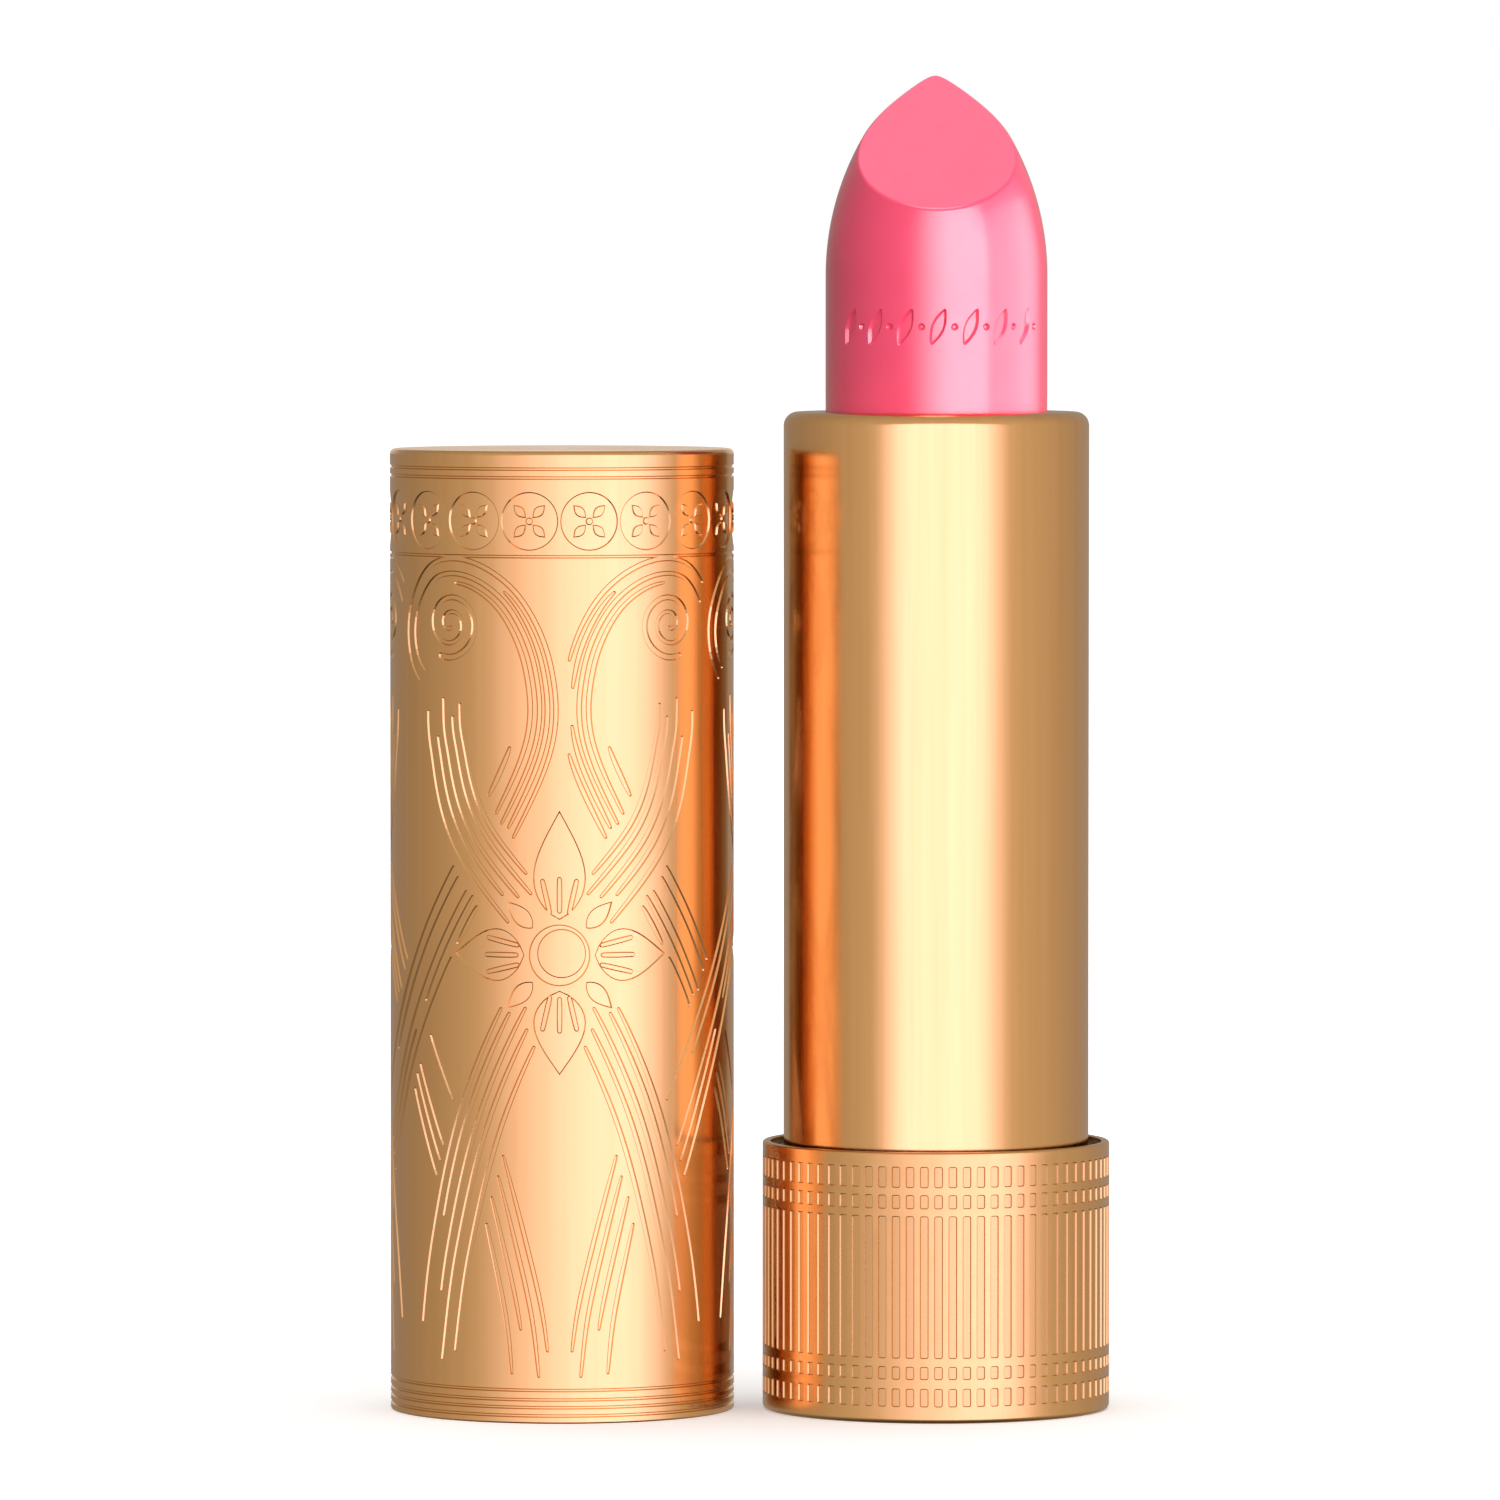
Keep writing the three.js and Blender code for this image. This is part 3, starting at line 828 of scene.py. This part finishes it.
class Finish:
    """A material whose colour, gloss and fine relief vary with noise in the object's own space."""

    def __init__(self, name, colour, roughness, metallic=0.0, **sockets):
        self.material = bpy.data.materials.new(name)
        self.material.use_nodes = True
        self.tree = self.material.node_tree
        self.shader = self.tree.nodes["Principled BSDF"]
        self.shader.inputs["Base Color"].default_value = (*colour, 1)
        self.shader.inputs["Roughness"].default_value = roughness
        self.shader.inputs["Metallic"].default_value = metallic
        for socket, value in sockets.items():
            self.shader.inputs[socket.replace("_", " ")].default_value = value

    def link(self, source, socket):
        self.tree.links.new(source, socket)

    def node(self, kind, operation=None, **values):
        return new_node(self.tree, kind, operation, **values)

    def noise(self, size, stretch=(1, 1, 1), detail=2.0):
        """Noise with features about size mm across, drawn out along an axis by stretch."""
        scale = [1 / (size * MM * s) for s in stretch]
        coordinates, mapping = self.node("TexCoord"), self.node("Mapping", Scale=scale)
        noise = self.node("TexNoise", Scale=1, Detail=detail)
        self.link(coordinates.outputs["Object"], mapping.inputs["Vector"])
        self.link(mapping.outputs["Vector"], noise.inputs["Vector"])
        return noise.outputs["Fac"]

    def spread(self, value, low, high):
        """Stretches noise, which lies mostly between 0.3 and 0.7, over a range."""
        remap = self.node("MapRange", From_Min=0.3, From_Max=0.7, To_Min=low, To_Max=high)
        self.link(value, remap.inputs["Value"])
        return remap.outputs["Result"]

    def vary_roughness(self, value, low, high):
        self.link(self.spread(value, low, high), self.shader.inputs["Roughness"])
        return self

    def vary_colour(self, value, first, second):
        mix = self.node("Mix")
        mix.data_type = "RGBA"
        mix.inputs[MIX_FIRST].default_value = (*first, 1)
        mix.inputs[MIX_SECOND].default_value = (*second, 1)
        self.link(self.spread(value, 0, 1), mix.inputs[MIX_FACTOR])
        self.link(mix.outputs[MIX_RESULT], self.shader.inputs["Base Color"])
        return self

    def bump(self, value, height, strength):
        """Relief from a value; height is in millimetres."""
        bump = self.node("Bump", Strength=strength, Distance=height * MM)
        self.link(value, bump.inputs["Height"])
        self.link(bump.outputs["Normal"], self.shader.inputs["Normal"])
        return self

    def brushed_upright(self):
        """Spreads reflections round the axis, as upright brushing does."""
        tangent = self.node("Tangent")
        tangent.direction_type = "RADIAL"
        tangent.axis = "Z"
        self.link(tangent.outputs["Tangent"], self.shader.inputs["Tangent"])
        return self


GOLD = (0.70, 0.42, 0.18)
DEEP_GOLD = (0.675, 0.392, 0.16)
MATTE_GOLD = (0.665, 0.395, 0.17)


def gold_finishes():
    """Sleeve, cap, the cap's strokes, grip, and the grip's bars."""
    upright = (1, 1, 60)  # fine lines along the axis
    sleeve = Finish("satin_gold", GOLD, 0.16, 1.0, Anisotropic=0.5).brushed_upright()
    lines = sleeve.noise(0.16, upright, detail=3.0)
    sleeve.vary_roughness(lines, 0.13, 0.2).bump(lines, height=0.0005, strength=0.4)
    sleeve.vary_colour(sleeve.noise(0.5, upright), DEEP_GOLD, GOLD)
    cap = Finish("engraved_gold", GOLD, 0.2, 1.0, Anisotropic=0.4).brushed_upright()
    lines = cap.noise(0.2, upright, detail=3.0)
    cap.vary_roughness(lines, 0.15, 0.24).bump(lines, height=0.0004, strength=0.5)
    cap.vary_colour(cap.noise(0.8, upright), DEEP_GOLD, GOLD)
    etched = Finish("etched_gold", GOLD, 0.26, 1.0)
    grain = etched.noise(0.12)
    etched.vary_roughness(grain, 0.15, 0.25).bump(grain, height=0.002, strength=0.4)
    grip = Finish("polished_gold", GOLD, 0.2, 1.0, Anisotropic=0.3).brushed_upright()
    lines = grip.noise(0.2, (1, 1, 20), detail=3.0)
    grip.vary_roughness(lines, 0.16, 0.24).vary_colour(grip.noise(1.0), DEEP_GOLD, GOLD)
    matte = Finish("matte_bar_gold", MATTE_GOLD, 0.3, 1.0)
    grain = matte.noise(0.08)
    matte.vary_roughness(grain, 0.26, 0.36).bump(grain, height=0.004, strength=0.6)
    return [f.material for f in (sleeve, cap, etched, grip, matte)]


def wax_finish():
    """Pink wax with a soft sheen and some light scattered inside."""
    pink, light = (0.88, 0.062, 0.145), (0.9, 0.068, 0.155)
    wax = Finish("lipstick_wax", pink, 0.3, Subsurface_Weight=0.1, Subsurface_Scale=0.0015,
                 Coat_Weight=0.3, Coat_Roughness=0.1)
    wax.shader.inputs["Subsurface Radius"].default_value = (1.0, 0.25, 0.2)
    wax.vary_roughness(wax.noise(0.4), 0.2, 0.26).bump(wax.noise(1.2), height=0.003, strength=0.3)
    wax.vary_colour(wax.noise(2.0), pink, light)
    return wax.material


def plain_finish(name, colour, roughness, grain, height, metallic=0.0):
    """A moulded or turned surface, with grain of a size and height in millimetres."""
    finish = Finish(name, colour, roughness, metallic)
    noise = finish.noise(grain)
    darker = tuple(SHADE * c for c in colour)
    finish.vary_roughness(noise, roughness - 0.06, roughness + 0.08).bump(noise, height, strength=0.5)
    finish.vary_colour(finish.noise(grain * 6), darker, colour)
    return finish.material


def dress_node(node, material):
    """Gives a CAD node, which keeps its own mesh, one material."""
    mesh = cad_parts[node].data
    mesh.materials.clear()
    mesh.materials.append(material)


def add(piece, body, node):
    """Puts a piece on its body, in place of a CAD node."""
    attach(piece, body)
    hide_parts(node)


def make_object():
    """The six pieces drawn here, and materials for the CAD nodes hidden inside."""
    satin, engraved, etched, polished, matte = gold_finishes()
    black = plain_finish("black_plastic", (0.05, 0.054, 0.065), 0.34, 0.15, 0.003)
    white = plain_finish("white_plastic", (0.78, 0.77, 0.74), 0.35, 0.2, 0.003)
    steel = plain_finish("weight_steel", (0.55, 0.55, 0.56), 0.35, 0.1, 0.004, metallic=1.0)
    silicone = plain_finish("silicone", (0.7, 0.7, 0.68), 0.45, 0.1, 0.002)
    label = plain_finish("label_film", (0.82, 0.82, 0.83), 0.3, 0.3, 0.001)
    add(cap_shell([engraved, etched]), "cap", "cap_shell")
    add(liner([black]), "cap", "cap_liner")
    add(grip_shell([polished, matte]), "base", "base_shell")
    add(insert([black]), "base", "base_insert")
    add(sleeve_shell([satin]), "sleeve", "sleeve_shell")
    add(stick([wax_finish()]), "carrier", "lipstick_bullet")
    for node in ("inner_body", "cam_spiral", "carrier_cup"):
        dress_node(node, white)
    for node in ("base_weight", "cap_weight"):
        dress_node(node, steel)
    for node in ("torque_ring_lower", "torque_ring_upper"):
        dress_node(node, silicone)
    dress_node("base_label", label)


# -------- stage, light and camera
TARGET = Vector((0, 0, 37.8 * MM))  # what the camera and the lights point at
CAMERA_DISTANCE = 0.7
CAMERA_RISE = math.radians(2.5)
FRAME_WIDTH = 0.086  # what the camera sees across at the target
LIGHT_DISTANCE = 1.5
FLOOR_RADIUS = 4.0
# The floor glows less under the object than far from it: that dimming is painted shade under the object.
FLOOR_GLOW = (0.3, 0.85)  # under the object and far from it
FLOOR_GLOW_AT = (0.1, 0.5)  # the distances at which it has these values
EVEN_LIGHT = 0.16  # what matte surfaces get from all round
FRONT_GLOSS, BACK_GLOSS = 0.98, 0.39  # what glossy surfaces see of the room
BRIGHT_SIDE = math.radians(14)  # the room is brightest this far to the right
UNDER_GLOSS = 0.15  # the share of it that is left far below the horizon
UNDER_HEIGHTS = (-0.9, -0.25)  # the room brightens between these directions' heights
WARM = (1.0, 0.873, 0.757)  # colours of light
COOL = (1.086, 0.91, 1.52)
PALE = (1.0, 0.98, 1.05)


def make_floor():
    """A pale floor that glows, so that only the shade near the object shows; its glow is lower near the
    object, which is painted shade there, on top of the real shade cast from the fill light.
    """
    bpy.ops.mesh.primitive_circle_add(vertices=96, radius=FLOOR_RADIUS, fill_type="NGON")
    floor = bpy.context.object
    floor.name = "floor"
    finish = Finish("pale_floor", (0.9, 0.9, 0.9), 0.9)
    finish.shader.inputs["Emission Color"].default_value = (1, 1, 1, 1)
    near, far = FLOOR_GLOW_AT
    low, high = FLOOR_GLOW
    distance = finish.node("VectorMath", "LENGTH")
    # Lower glow near the object: painted shade under it.
    glow = finish.node("MapRange", From_Min=near, From_Max=far, To_Min=low, To_Max=high)
    finish.link(finish.node("TexCoord").outputs["Object"], distance.inputs[0])
    finish.link(distance.outputs["Value"], glow.inputs["Value"])
    finish.link(glow.outputs["Result"], finish.shader.inputs["Emission Strength"])
    floor.data.materials.append(finish.material)
    floor.visible_glossy = False
    floor.visible_diffuse = False


def room_strength(tree):
    """How bright the room looks in each direction to a glossy surface."""
    link = tree.links.new
    low, high = UNDER_HEIGHTS
    place, split = new_node(tree, "TexCoord"), new_node(tree, "SeparateXYZ")
    toward = new_node(tree, "VectorMath", "DOT_PRODUCT")
    toward.inputs[1].default_value = (math.sin(BRIGHT_SIDE), -math.cos(BRIGHT_SIDE), 0)
    front = new_node(tree, "MapRange", From_Min=-1, From_Max=1, To_Min=BACK_GLOSS, To_Max=FRONT_GLOSS)
    under = new_node(tree, "MapRange", From_Min=low, From_Max=high, To_Min=UNDER_GLOSS, To_Max=1.0)
    strength = new_node(tree, "Math", "MULTIPLY")
    link(place.outputs["Generated"], toward.inputs[0])
    link(toward.outputs["Value"], front.inputs["Value"])
    link(place.outputs["Generated"], split.inputs[0])
    link(split.outputs["Z"], under.inputs["Value"])
    link(front.outputs["Result"], strength.inputs[0])
    link(under.outputs["Result"], strength.inputs[1])
    return strength.outputs[0]


def make_world():
    """Low even light for matte surfaces, a brighter front for glossy ones, a white backdrop."""
    world = bpy.data.worlds.new("studio")
    bpy.context.scene.world = world
    world.use_nodes = True
    tree = world.node_tree
    link = tree.links.new
    white = (1, 1, 1, 1)
    even = new_node(tree, "Background", Color=white, Strength=EVEN_LIGHT)
    glossy = new_node(tree, "Background", Color=(*WARM, 1))
    backdrop = new_node(tree, "Background", Color=white, Strength=1.0)
    path, lit, seen = (new_node(tree, kind) for kind in ("LightPath", "MixShader", "MixShader"))
    link(room_strength(tree), glossy.inputs["Strength"])
    link(path.outputs["Is Glossy Ray"], lit.inputs[0])
    link(even.outputs[0], lit.inputs[1])
    link(glossy.outputs[0], lit.inputs[2])
    link(path.outputs["Is Camera Ray"], seen.inputs[0])
    link(lit.outputs[0], seen.inputs[1])
    link(backdrop.outputs[0], seen.inputs[2])
    link(seen.outputs[0], tree.nodes["World Output"].inputs["Surface"])


def soften_edges(data, half_width, fades):
    """Fades a softbox out towards its left and right edges, over angles seen from the object."""
    data.use_nodes = True
    tree = data.node_tree
    link = tree.links.new
    where, split = new_node(tree, "NewGeometry"), new_node(tree, "SeparateXYZ")
    across, angle = new_node(tree, "Math", "MULTIPLY_ADD"), new_node(tree, "Math", "ARCTANGENT")
    both = new_node(tree, "Math", "MULTIPLY")
    across.inputs[1].default_value = 2 * math.tan(half_width)
    across.inputs[2].default_value = -math.tan(half_width)
    link(where.outputs["Parametric"], split.inputs[0])
    link(split.outputs["X"], across.inputs[0])
    link(across.outputs[0], angle.inputs[0])
    for i, (side, fade) in enumerate(zip((-1, 1), fades)):
        edge = side * half_width
        full = edge - side * math.radians(fade)
        ramp = new_node(tree, "MapRange", From_Min=edge, From_Max=full)
        ramp.interpolation_type = "SMOOTHSTEP"
        link(angle.outputs[0], ramp.inputs["Value"])
        link(ramp.outputs["Result"], both.inputs[i])
    link(both.outputs[0], tree.nodes["Emission"].inputs["Strength"])


def softbox(name, receivers, span, fades, level, colour=(1, 1, 1), rise=0.0, tall=70):
    """A soft light that lights only the pieces named, and is as bright as level says.

    Seen from the object it spans two azimuths, in degrees: zero is the front and right is
    positive. fades are the angles over which its left and right edges fade out, rise is how
    high its middle stands and tall is how far it reaches upright.
    """
    half_width = math.radians(span[1] - span[0]) / 2
    turn, up = math.radians(span[0] + span[1]) / 2, math.radians(rise)
    away = Vector((math.sin(turn) * math.cos(up), -math.cos(turn) * math.cos(up), math.sin(up)))
    data = bpy.data.lights.new(name, "AREA")
    data.shape = "RECTANGLE"
    data.size = 2 * LIGHT_DISTANCE * math.tan(half_width)
    data.size_y = 2 * LIGHT_DISTANCE * math.tan(math.radians(tall / 2))
    data.energy = level * math.pi * data.size * data.size_y
    data.color = colour
    soften_edges(data, half_width, fades)
    light = bpy.data.objects.new(name, data)
    light.location = TARGET + away * LIGHT_DISTANCE
    light.visible_camera = False
    light.rotation_euler = away.to_track_quat("Z", "Y").to_euler()
    bpy.context.scene.collection.objects.link(light)
    group = bpy.data.collections.new(name + "_receivers")
    for receiver in receivers:
        group.objects.link(bpy.data.objects[receiver])
    light.light_linking.receiver_collection = group


def make_lights():
    """Each part's own lights, so that each shows its own bands of light and shade."""
    cap, grip, sleeve = ("cap_outside", "liner"), ("grip_outside", "insert"), ("sleeve_outside",)
    softbox("sleeve_key", sleeve, (-51, 60), (30, 32), 1.66, COOL)
    softbox("grip_key", grip, (-65, 82), (104, 42), 1.35, COOL)
    softbox("cap_key", cap, (-70, 88), (106, 44), 1.55, COOL)
    softbox("crown_back", cap, (130, 230), (50, 50), 0.5, WARM, rise=8.5, tall=16)
    softbox("stick_key", ("stick",), (-36, 60), (55, 9), 9.5, PALE, tall=31)
    softbox("stick_side", ("stick",), (52, 142), (9, 40), 4.2, PALE, tall=31)
    softbox("stick_top", ("stick",), (150, 210), (20, 20), 0.95, PALE, rise=68, tall=50)
    softbox("stick_brow", ("stick",), (-15, 15), (4, 4), 5.5, PALE, rise=65, tall=30)
    softbox("floor_fill", ("floor",), (-45, 45), (5, 5), 1.5, rise=90, tall=90)


def make_camera():
    """A long lens, a little above the middle of the object."""
    data = bpy.data.cameras.new("camera")
    data.sensor_width = 36
    data.lens = data.sensor_width * CAMERA_DISTANCE / FRAME_WIDTH
    data.clip_start, data.clip_end = 0.01, 50
    camera = bpy.data.objects.new("camera", data)
    back = Vector((0, -math.cos(CAMERA_RISE), math.sin(CAMERA_RISE)))
    camera.location = TARGET + back * CAMERA_DISTANCE
    camera.rotation_euler = back.to_track_quat("Z", "Y").to_euler()
    bpy.context.scene.collection.objects.link(camera)
    bpy.context.scene.camera = camera


make_camera()
make_object()
make_floor()
make_world()
make_lights()
bpy.context.scene.view_settings.view_transform = "Standard"
